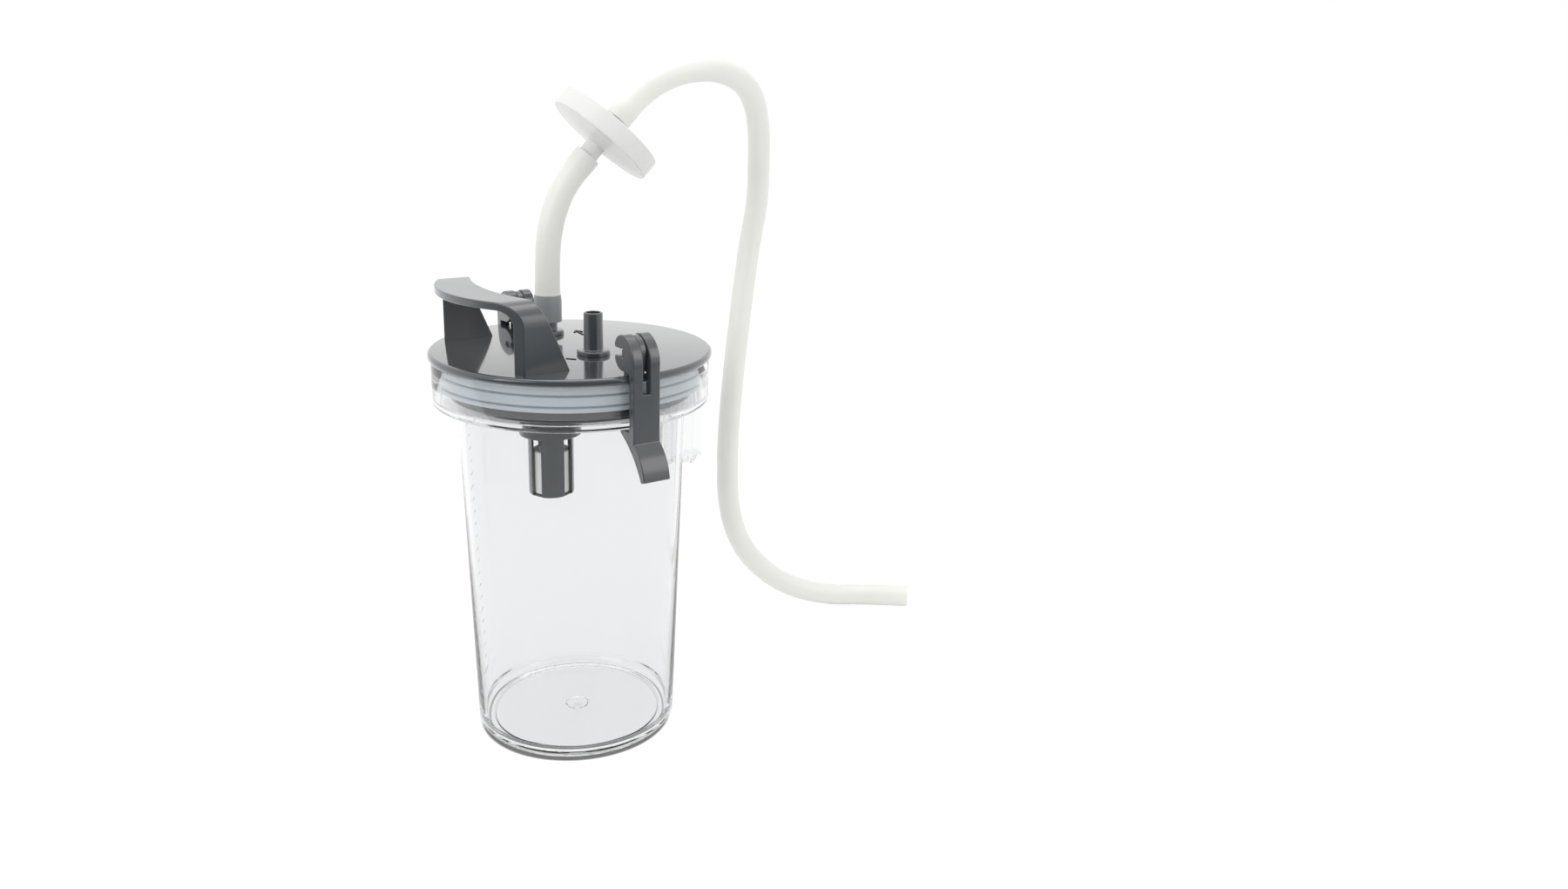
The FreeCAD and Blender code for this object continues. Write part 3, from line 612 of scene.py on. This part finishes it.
# Lid
# One grey ABS moulding, polished on top: disc, skirt, valve boss and patient boss, two ears that carry the
# latches' stub pins, and a carrying handle bent up from the disc's front edge.
lid_grey = (0.046, 0.053, 0.059)
polished_grey = moulded(
    "polished_grey_plastic", lid_grey, 0.13, tone_spread=0.06, roughness_spread=0.05, grain_depth=0.0,
    Coat_Weight=1.0, Coat_Roughness=0.04,
)
satin_grey = moulded(
    "satin_grey_plastic", lid_grey, 0.30, grain_depth=0.12, Coat_Weight=1.0, Coat_Roughness=0.20,
)
lid_radius, lid_top, skirt_inner, skirt_bottom = 64.99, 186.2, 53.5, 166.6
vacuum_port, patient_port = (-30.2, 2.8, 0), (19.6, 1.1, 0)
spigot_radius, drill_radius, drill_bottom, drill_top = 5.0, 4.95, 180, 190
boss_root = collar_top + 0.5
valve_boss_radius, valve_boss_inside, valve_seat, seat_top, seat_hole = 12.5, 10.3, 141.0, 143.5, 3.5
patient_boss_radius, patient_boss_bottom = 7.5, 176.0
pin_offset, pin_height, pin_radius, pin_half, pin_edge = 59.3, 195.5, 1.9, 5.5, 0.4
ear_radius, ear_half, ear_foot_outer, ear_foot_inner, ear_steps = 7.3, 1.5, 64.6, 52.0, 24
lid_disc = turned("lid_disc", [
    (0, collar_top), (skirt_inner, collar_top, 1.0), (skirt_inner, skirt_bottom, 0.6),
    (skirt_outer, skirt_bottom, 0.6), (skirt_outer, collar_top), (lid_radius, collar_top, 1.2),
    (lid_radius, lid_top, 1.8), (0, lid_top),
], polished_grey, steps=192)
valve_boss = turned("valve_boss", [
    (seat_hole, valve_seat, 0.3), (valve_boss_radius, valve_seat, 0.8), (valve_boss_radius, boss_root),
    (valve_boss_inside, boss_root), (valve_boss_inside, seat_top, 0.5), (seat_hole, seat_top, 0.3),
], satin_grey, at=vacuum_port, steps=64)
patient_boss = turned("patient_boss", [
    (spigot_radius, patient_boss_bottom, 0.3), (patient_boss_radius, patient_boss_bottom, 0.5),
    (patient_boss_radius, boss_root), (spigot_radius, boss_root),
], satin_grey, at=patient_port, steps=64)
for name, port in (("vacuum_hole", vacuum_port), ("patient_hole", patient_port)):
    drill = turned(name, [
        (0, drill_bottom), (drill_radius, drill_bottom), (drill_radius, drill_top), (0, drill_top),
    ], polished_grey, at=port, steps=64)
    joined(lid_disc, drill, "DIFFERENCE")


def softened(piece, width):
    """Break a piece's sharp edges, as a mould does; width is in millimetres."""
    edges = piece.modifiers.new("broken_edges", "BEVEL")
    edges.width = width / 1000
    edges.segments = 3
    edges.limit_method = "ANGLE"
    edges.angle_limit = math.radians(32)
    edges.use_clamp_overlap = False
    edges.harden_normals = True
    return finished(piece)


lid_parts = [lid_disc, valve_boss, patient_boss]
moulded_root = lid_top - 0.5
for side, word in ((1, "front"), (-1, "rear")):
    rim = [
        (side * (pin_offset + ear_radius * math.cos(turn)), pin_height + ear_radius * math.sin(turn))
        for turn in (math.pi * step / ear_steps for step in range(ear_steps + 1))
    ]
    ear_feet = (side * ear_foot_outer, moulded_root), (side * ear_foot_inner, moulded_root)
    ear = slab(f"{word}_ear", [ear_feet[0], *rim, ear_feet[1]], -ear_half, ear_half, satin_grey)
    lid_parts.append(softened(ear, 0.4))
    lid_parts.append(turned(f"{word}_stub_pin", [
        (0, -pin_half), (pin_radius, -pin_half, pin_edge), (pin_radius, pin_half, pin_edge), (0, pin_half),
    ], satin_grey, at=(side * pin_offset, 0, pin_height), along=(0, 1, 0), steps=40))

# The handle's strap as stations along its middle: (x, z) of its outer and inner skin, from leg to leg
handle_half, handle_top, strap_thickness, strap_bend = 42.4, 216.5, 3.5, 10.0
strap_bow, foot_back, top_back = 60.5, 22.0, 35.0
grip_radius, grip_centre, grip_half = 92.0, 51.0, 38.0
bend_centre, bend_height = handle_half - strap_bend, handle_top - strap_bend
bend_steps, grip_steps = 12, 25
outer, inner = [], []
for skin, depth in ((outer, 0), (inner, strap_thickness)):
    skin += [(-handle_half + depth, moulded_root), (-handle_half + depth, bend_height)]
    for step in range(1, bend_steps + 1):
        turn, radius = math.pi - math.pi / 2 * step / bend_steps, strap_bend - depth
        skin.append((-bend_centre + radius * math.cos(turn), bend_height + radius * math.sin(turn)))
    leg = skin[:]
    for step in range(1, grip_steps):
        skin.append((-bend_centre + 2 * bend_centre * step / grip_steps, handle_top - depth))
    skin += [(-x, z) for x, z in reversed(leg)]


def strap_front(x, z):
    """Front edge of the strap: it follows the lid's rim at every height."""
    return -math.sqrt(strap_bow ** 2 - x * x)


def strap_back(x, z):
    """Rear edge of the strap: the legs lean forward and the grip is hollowed for the fingers."""
    slant = -foot_back - (top_back - foot_back) * (z - lid_top) / (handle_top - lid_top)
    hollow = grip_centre - math.sqrt(grip_radius ** 2 - x * x)
    return min(slant, hollow) if abs(x) < grip_half else slant


shell = bmesh.new()
stations = [
    [
        shell.verts.new((x / 1000, edge(x, z) / 1000, z / 1000))
        for (x, z), edge in ((top, strap_front), (top, strap_back), (under, strap_back), (under, strap_front))
    ]
    for top, under in zip(outer, inner)
]
for near, far in zip(stations, stations[1:]):
    for k in range(4):
        shell.faces.new((near[k], near[(k + 1) % 4], far[(k + 1) % 4], far[k]))
shell.faces.new(stations[0])
shell.faces.new(list(reversed(stations[-1])))
bmesh.ops.recalc_face_normals(shell, faces=shell.faces)
handle = softened(new_piece("lid_handle", shell, satin_grey), 0.6)
lid_parts.append(handle)
for piece in lid_parts:
    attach(piece, "canister")
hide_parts("lid")

# Port marks
# Small raised marks on the disc beside the two ports, an arrow at the vacuum port and a dash at the patient
# port, sharp enough to read as dark strokes in the gloss.
mark_grey = moulded("mark_grey_plastic", (0.035, 0.037, 0.040), 0.5)
mark_sunk, mark_top = 186.15, 186.5


def stroke(name, points, width):
    """A low bar along a line of points on the lid."""
    shell = bmesh.new()
    for start, end in zip(points, points[1:]):
        run = Vector(end) - Vector(start)
        side = Vector((-run.y, run.x)).normalized() * width / 2
        corners = [Vector(start) + side, Vector(start) - side, Vector(end) - side, Vector(end) + side]
        low = [shell.verts.new((corner.x / 1000, corner.y / 1000, mark_sunk / 1000)) for corner in corners]
        high = [shell.verts.new((corner.x / 1000, corner.y / 1000, mark_top / 1000)) for corner in corners]
        shell.faces.new(high)
        shell.faces.new(list(reversed(low)))
        for k in range(4):
            there = (k + 1) % 4
            shell.faces.new((low[k], low[there], high[there], high[k]))
    bmesh.ops.recalc_face_normals(shell, faces=shell.faces)
    return new_piece(name, shell, mark_grey)


arrow = stroke("vacuum_arrow", [(-20.5, 16.5), (-29.5, 17.5)], 0.9)
barb = stroke("vacuum_arrow_head", [(-26.6, 19.4), (-30.0, 17.5), (-27.0, 15.2)], 0.9)
dash = stroke("patient_dash", [(21.6, -13.6), (25.2, -10.6)], 1.0)
for piece in (arrow, barb, dash):
    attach(piece, "canister")

# Connectors
# Two grey nozzles pressed into the lid, each with a rounded flange: the bare one takes the patient's tube,
# the other carries the hose.
nozzle_radius, nozzle_bore, nozzle_taper = 4.3, 3.2, 0.1
spigot_bottom, flange_radius, flange_top = 180.7, 7.5, 188.5
for word, port, top in (("patient", patient_port, 205.5), ("vacuum", vacuum_port, 202.9)):
    nozzle = turned(f"{word}_nozzle", [
        (nozzle_bore, spigot_bottom, 0.2), (spigot_radius, spigot_bottom, 0.3), (spigot_radius, lid_top),
        (flange_radius, lid_top, 0.2), (flange_radius, flange_top, 0.9),
        (nozzle_radius + nozzle_taper, flange_top, 0.6), (nozzle_radius, top, 0.5), (nozzle_bore, top, 0.3),
    ], satin_grey, at=port, steps=72)
    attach(nozzle, "canister")
    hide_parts(f"{word}_connector")

# Float cage
# A grey cup clipped on the valve boss: four ribs between tall windows, through which the fluid lifts the
# float.
cage_inside, cage_radius, cage_bottom = 9.8, 11.25, 105.5
cage_flange_radius, cage_flange_bottom = 15.5, 136.5
window_half, window_below, window_through = 2.9, 1.5, 14
cage_floor_radius, cage_floor_top, cage_turn = 9.95, 106.5, 24.0
cage = turned("float_cage_cup", [
    (cage_inside, cage_bottom), (cage_radius, cage_bottom, 1.3), (cage_radius, cage_flange_bottom, 0.4),
    (cage_flange_radius, cage_flange_bottom, 0.6), (cage_flange_radius, valve_seat, 0.6),
    (cage_inside, valve_seat, 0.4),
], satin_grey, steps=96)
for turn in (0, 90):
    window = slab("cage_window", [
        (-window_half, cage_bottom - window_below), (window_half, cage_bottom - window_below),
        (window_half, cage_flange_bottom, 0.8), (-window_half, cage_flange_bottom, 0.8),
    ], -window_through, window_through, satin_grey)
    window.data.transform(Matrix.Rotation(math.radians(turn), 4, "Z"))
    joined(cage, window, "DIFFERENCE")
cage_floor = turned("cage_floor", [
    (0, cage_bottom), (cage_floor_radius, cage_bottom, 0.3), (cage_floor_radius, cage_floor_top, 0.3),
    (0, cage_floor_top),
], satin_grey)
joined(cage, cage_floor, "UNION")
softened(cage, 0.25)
under_port = Matrix.Translation(Vector(vacuum_port) / 1000)
cage.data.transform(under_port @ Matrix.Rotation(math.radians(cage_turn), 4, "Z"))
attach(cage, "canister")
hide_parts("float_cage")

# Float and its seal
# A white polypropylene cup, open below, with a soft disc on top that shuts the valve seat when the jar is
# full.
float_radius, float_inside, float_bottom, float_top, float_ceiling = 9.3, 7.6, 106.8, 128.5, 127.3
seal_radius, seal_top = 6.5, 130.8
white_polypropylene = moulded(
    "white_polypropylene", (0.92, 0.915, 0.90), 0.42, Subsurface_Weight=0.2, Subsurface_Scale=0.002,
)
float_cup = turned("float_cup", [
    (float_inside, float_bottom, 0.3), (float_radius, float_bottom, 0.3), (float_radius, float_top, 0.8),
    (0, float_top), (0, float_ceiling), (float_inside, float_ceiling, 0.4),
], white_polypropylene, at=vacuum_port, steps=72)
float_disc = turned("float_seal_disc", [
    (0, float_top), (seal_radius, float_top, 0.3), (seal_radius, seal_top, 1.1), (0, seal_top),
], pale_silicone, at=vacuum_port, steps=64)
for piece, node, slot_name in (
    (float_cup, "float", "white_plastic"), (float_disc, "float_seal", "seal_rubber"),
):
    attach(piece, "float_valve")
    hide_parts(node)

# Latches
# Two grey arms that hook on the lid's stub pins with a roll, hold the collar from below with a tooth, and end
# in a flared thumb tab. A slot in the upper part clears the ear.
def along_arc(start, end, radius, steps=10):
    """Points after start to end on the shorter arc: counter-clockwise, or clockwise for a negative radius."""
    first, last = Vector(start), Vector(end)
    chord = last - first
    rise = math.sqrt(radius * radius - chord.length_squared / 4)
    middle = (first + last) / 2 + Vector((-chord.y, chord.x)).normalized() * math.copysign(rise, radius)
    swept = (last - middle).angle_signed(first - middle)
    turns = [Matrix.Rotation(swept * step / steps, 2) for step in range(1, steps + 1)]
    return [tuple(middle + turn @ (first - middle)) for turn in turns]


latch_half, latch_face, latch_back, socket_radius, roll_foot = 6.5, 69.3, 65.3, 1.95, 190.0
mouth_top, mouth_bottom, mouth_end = 197.15, 193.85, 58.26
slot_half, slot_bottom, slot_top, slot_near, slot_far = 1.7, 178.7, 209, 48, 74
# From the arm's face over the roll, round the open socket, down the back to the tooth and round the thumb tab
roll = [(60.5, 203.2, 12.0), (53.0, 198.3, 6.6)]
pin_socket = [
    (53.5, mouth_top), (mouth_end, mouth_top), (pin_offset + socket_radius, pin_height, -socket_radius),
    (mouth_end, mouth_bottom, -socket_radius), (53.5, mouth_bottom),
]
arm_back = [(53.2, 192.3), (60.1, 187.6, 6.6), (latch_back, 187.6), (latch_back, 162.2)]
tooth_and_tab = [(57.6, 162.2), (57.6, 160.3), (75.2, 142.0, -43.0), (77.9, 142.8), (latch_face, 157.4, 21.0)]
latch_side = [(latch_face, roll_foot)]
for step in roll + pin_socket + arm_back + tooth_and_tab:
    latch_side += along_arc(latch_side[-1], step[:2], step[2]) if len(step) > 2 else [step]
for word, turn in (("front", 0), ("rear", 180)):
    latch = slab(f"{word}_latch_arm", latch_side, -latch_half, latch_half, satin_grey)
    ear_slot = slab("ear_slot", [
        (slot_near, slot_bottom), (slot_far, slot_bottom), (slot_far, slot_top), (slot_near, slot_top),
    ], -slot_half, slot_half, satin_grey)
    joined(latch, ear_slot, "DIFFERENCE")
    softened(latch, 0.45)
    latch.data.transform(Matrix.Rotation(math.radians(turn), 4, "Z"))
    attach(latch, f"{word}_latch")
    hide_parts(f"latch_{word}")

# Disc filter
# Two frosted polypropylene shells welded at the rim round a white membrane that keeps fluid and germs out of
# the vacuum; each ends in a hub with a barb for the hose.
filter_centre, airway = Vector((-25.2, 32.2, 281.0)), Vector((0.13, 0.65, 0.749)).normalized()
filter_radius, half_rim, filter_wall, rim_edge = 27.0, 4.75, 1.6, 0.6
dome_radius, dome_rise, cavity_radius, dish_steps = 24.0, 2.7, 22.5, 8
hub_radius, barb_radius, barb_length, airway_radius = 4.8, 4.3, 8.0, 2.5
membrane_radius, membrane_half = 24.2, 0.5
frosted_polypropylene = moulded(
    "frosted_polypropylene", (0.78, 0.78, 0.765), 0.24, tone_spread=0.05, grain_depth=0.0, IOR=1.49,
)
quarter_turns = [math.pi / 2 * step / dish_steps for step in range(dish_steps + 1)]
dome = [
    (dome_radius - (dome_radius - hub_radius) * step / dish_steps, half_rim + dome_rise * math.sin(turn))
    for step, turn in enumerate(quarter_turns)
]
dish = [
    (airway_radius + (cavity_radius - airway_radius) * step / dish_steps,
     half_rim + dome_rise - filter_wall - dome_rise * (1 - math.cos(turn)))
    for step, turn in enumerate(quarter_turns)
]
weld_rim = [
    (cavity_radius, membrane_half), (membrane_radius, membrane_half), (membrane_radius, 0),
    (filter_radius, 0), (filter_radius, half_rim, rim_edge),
]
shells = []
for word, hub, way in (("inlet", 13.4, -airway), ("outlet", 8.7, airway)):
    hub_and_barb = [
        (hub_radius, hub, 0.5), (barb_radius, hub), (barb_radius, hub + barb_length, 0.5),
        (airway_radius, hub + barb_length, 0.2),
    ]
    shells.append(turned(
        f"filter_{word}_half", dish + weld_rim + dome + hub_and_barb, frosted_polypropylene, at=filter_centre,
        along=way, steps=144,
    ))
filter_paper = moulded("filter_paper", (0.97, 0.972, 0.965), 0.85, grain_depth=0.6)
membrane = turned("filter_sheet", [
    (0, -membrane_half), (membrane_radius, -membrane_half), (membrane_radius, membrane_half),
    (0, membrane_half),
], filter_paper, at=filter_centre, along=airway, steps=96)
for piece, node, slot_name in (
    (shells[0], "filter_inlet_shell", "filter_plastic"), (shells[1], "filter_outlet_shell", "filter_plastic"),
    (membrane, "filter_membrane", "filter_paper"),
):
    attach(piece, "canister")
    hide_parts(node)

# Hose
# Milky silicone tube, 12 mm outside and 8 mm inside, pushed on the vacuum nozzle, cut for the filter's two
# barbs, and then free: it arches over behind the jar and comes down to the floor, where its bare end lies.
hose_radius, hose_bore = 0.0060, 0.0040
hose_milk, milk_over_nozzle, hose_roughness = (0.85, 0.85, 0.80), (0.29, 0.31, 0.32), 0.36
nozzle_shows_to, nozzle_hidden_from = 0.0127, 0.0133
nozzle_reach, nozzle_swell = 0.0120, 0.00065
barb_reach, barb_swell = 0.0080, 0.00045
swell_start, swell_run = 0.003, 0.005
milky_silicone, tree, output = new_material("milky_silicone")
body = tree.nodes.new("ShaderNodeBsdfPrincipled")
body.inputs["Roughness"].default_value = hose_roughness
body.inputs["Subsurface Weight"].default_value = 0.35
body.inputs["Subsurface Scale"].default_value = 0.004
body.inputs["Subsurface Radius"].default_value = (1.0, 0.95, 0.85)
skin = tree.nodes.new("ShaderNodeGroup")
skin.node_tree = moulded_skin
skin.inputs["Colour"].default_value = (*hose_milk, 1)
skin.inputs["Tone spread"].default_value = 0.05
skin.inputs["Roughness"].default_value = hose_roughness
skin.inputs["Roughness spread"].default_value = 0.10
skin.inputs["Grain depth"].default_value = 0.1
along_hose = tree.nodes.new("ShaderNodeUVMap")
along_hose.uv_map = "along_hose"
split = tree.nodes.new("ShaderNodeSeparateXYZ")
tree.links.new(along_hose.outputs[0], split.inputs[0])
over_nozzle = tree.nodes.new("ShaderNodeMapRange")
over_nozzle.inputs["From Min"].default_value = nozzle_shows_to
over_nozzle.inputs["From Max"].default_value = nozzle_hidden_from
over_nozzle.inputs["To Min"].default_value = 1.0
over_nozzle.inputs["To Max"].default_value = 0.0
tree.links.new(split.outputs["Y"], over_nozzle.inputs["Value"])
shown = tree.nodes.new("ShaderNodeMix")
shown.data_type = "RGBA"
shown.inputs["B"].default_value = (*milk_over_nozzle, 1)
tree.links.new(over_nozzle.outputs["Result"], shown.inputs["Factor"])
tree.links.new(skin.outputs["Colour"], shown.inputs["A"])
tree.links.new(shown.outputs["Result"], body.inputs["Base Color"])
tree.links.new(skin.outputs["Roughness"], body.inputs["Roughness"])
tree.links.new(skin.outputs["Normal"], body.inputs["Normal"])
tree.links.new(body.outputs[0], output.inputs["Surface"])


def hose(name, route, start, pushed_on, steps=36):
    """A tube along the line of a route, and that line; start is its place on the whole hose, and pushed_on
    gives how far a nozzle or barb reaches into it at both ends and how much that swells it, all in metres."""
    curve = bpy.data.curves.new(name, "CURVE")
    curve.dimensions = "3D"
    spline = curve.splines.new("NURBS")
    spline.points.add(len(route) - 1)
    for point, place in zip(spline.points, route):
        point.co = (*place, 1)
    spline.order_u = 3
    spline.use_endpoint_u = True
    spline.resolution_u = 12
    drawn = bpy.data.objects.new(name, curve)
    scene.collection.objects.link(drawn)
    line = bpy.data.meshes.new_from_object(drawn.evaluated_get(bpy.context.evaluated_depsgraph_get()))
    path = [vert.co.copy() for vert in line.vertices]
    bpy.data.objects.remove(drawn)
    run = [0.0]
    for here, there in zip(path, path[1:]):
        run.append(run[-1] + (there - here).length)
    shell = bmesh.new()
    uv = shell.loops.layers.uv.new("along_hose")
    skins = ([], [])
    heading = (path[1] - path[0]).normalized()
    side = heading.orthogonal().normalized()
    for place, (point, done) in enumerate(zip(path, run)):
        ahead = path[min(place + 1, len(path) - 1)] - path[max(place - 1, 0)]
        side = (side - ahead.normalized() * side.dot(ahead.normalized())).normalized()
        other = ahead.normalized().cross(side)
        swell = 0.0
        for reach, amount, away in ((*pushed_on[0], done), (*pushed_on[1], run[-1] - done)):
            share = min(max((reach + swell_start - away) / swell_run, 0.0), 1.0)
            swell += amount * share * share * (3 - 2 * share)
        for skin_rings, radius in zip(skins, (hose_radius + swell, hose_bore + swell)):
            skin_rings.append([
                shell.verts.new(point + radius * (side * math.cos(turn) + other * math.sin(turn)))
                for turn in (math.tau * k / steps for k in range(steps))
            ])

    def band(first, second, low, high):
        """One ring of faces; low and high are the places on the hose of its two edges."""
        for k in range(steps):
            there = (k + 1) % steps
            face = shell.faces.new((first[k], first[there], second[there], second[k]))
            corners = ((k, low), (k + 1, low), (k + 1, high), (k, high))
            for loop, (turn, done) in zip(face.loops, corners):
                loop[uv].uv = (turn / steps, start + done)

    for rings in skins:
        for place in range(len(path) - 1):
            band(rings[place], rings[place + 1], run[place], run[place + 1])
    band(skins[0][0], skins[1][0], run[0], run[0])
    band(skins[0][-1], skins[1][-1], run[-1], run[-1])
    bmesh.ops.recalc_face_normals(shell, faces=shell.faces)
    return softened(new_piece(name, shell, milky_silicone, smooth_below=50), 0.3), path


lower_route = [
    (-0.0302, 0.0028, 0.1925), (-0.0302, 0.0028, 0.2115), (-0.0304, 0.0036, 0.2305),
    (-0.0302, 0.0070, 0.2455), (-0.0290, 0.0134, 0.2594), (-0.0269, 0.0235, 0.2710),
]
upper_route = [
    (-0.0241, 0.0379, 0.2875), (-0.0221, 0.0476, 0.2987), (-0.0198, 0.0637, 0.3087),
    (-0.0197, 0.0824, 0.3124), (-0.0234, 0.1010, 0.3105), (-0.0310, 0.1173, 0.3043),
    (-0.0408, 0.1300, 0.2939), (-0.0494, 0.1386, 0.2793), (-0.0549, 0.1427, 0.2615),
    (-0.0555, 0.1430, 0.2420), (-0.0565, 0.1395, 0.2225), (-0.0545, 0.1345, 0.1990),
    (-0.0505, 0.1280, 0.1700), (-0.0465, 0.1215, 0.1365), (-0.0445, 0.1180, 0.1020),
    (-0.0445, 0.1195, 0.0700), (-0.0440, 0.1280, 0.0465), (-0.0420, 0.1430, 0.0275),
    (-0.0380, 0.1625, 0.0135), (-0.0310, 0.1850, 0.0060), (-0.0190, 0.2060, 0.0060),
    (-0.0040, 0.2245, 0.0060),
]
upper_from = 0.0950
hose_lower, lower_path = hose(
    "hose_lower_length", lower_route, 0.0, ((nozzle_reach, nozzle_swell), (barb_reach, barb_swell)),
)
hose_upper, upper_path = hose(
    "hose_upper_length", upper_route, upper_from, ((barb_reach, barb_swell), (0.0, 0.0)),
)
for piece in (hose_lower, hose_upper):
    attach(piece, "canister")
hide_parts("hose_lower")
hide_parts("hose_upper")
